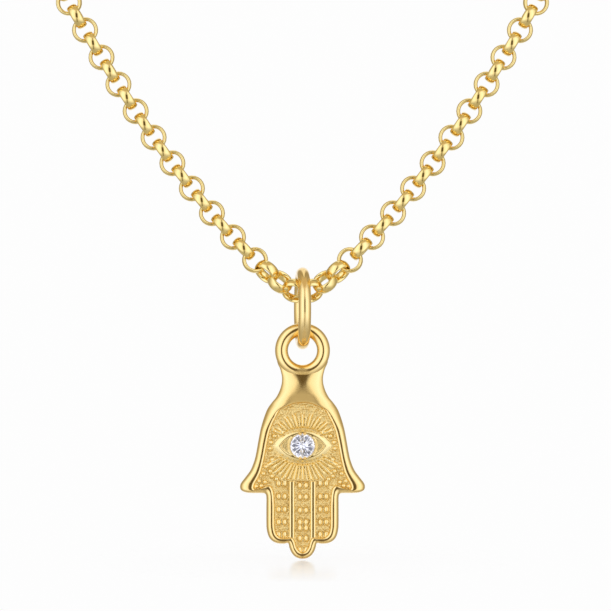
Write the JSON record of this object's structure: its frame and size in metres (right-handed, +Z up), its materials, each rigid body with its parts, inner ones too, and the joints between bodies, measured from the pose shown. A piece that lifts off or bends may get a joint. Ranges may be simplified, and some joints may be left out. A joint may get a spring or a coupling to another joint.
{
  "type": "hamsa pendant necklace",
  "caption": "Open-hand charm with an eye, a round stone and raised rays, hung by a round ring from a closed chain of round links that is worn round the neck.",
  "frame": {"origin": "on the axis of the neck, level with the chain at the nape, where the necklace is held up", "axes": "+Z up, -Y towards the front where the charm hangs, +X towards the wearer's left"},
  "size_m": [0.103, 0.1075, 0.1128],
  "materials": {
    "casting_metal": "polished",
    "ring_metal": "polished",
    "chain_metal": "polished",
    "stone": "faceted, clear"
  },
  "bodies": {
    "chain": {"chain_right": "chain_metal", "chain_left": "chain_metal", "end_ring_right": "chain_metal", "end_ring_left": "chain_metal", "clasp": "chain_metal"},
    "ring": {"jump_ring": "ring_metal"},
    "pendant": {"hamsa_casting": "casting_metal", "stone": "stone"}
  },
  "joints": [
    {"name": "ring_swing", "type": "hinge", "parent": "chain", "child": "ring", "pos_m": [0, -0.056, -0.084], "axis": [1, 0, 0], "range_deg": [-60, 60]},
    {"name": "pendant_swing", "type": "hinge", "parent": "ring", "child": "pendant", "pos_m": [0, -0.056, -0.08906], "axis": [0, 1, 0], "range_deg": [-45, 45]}
  ]
}
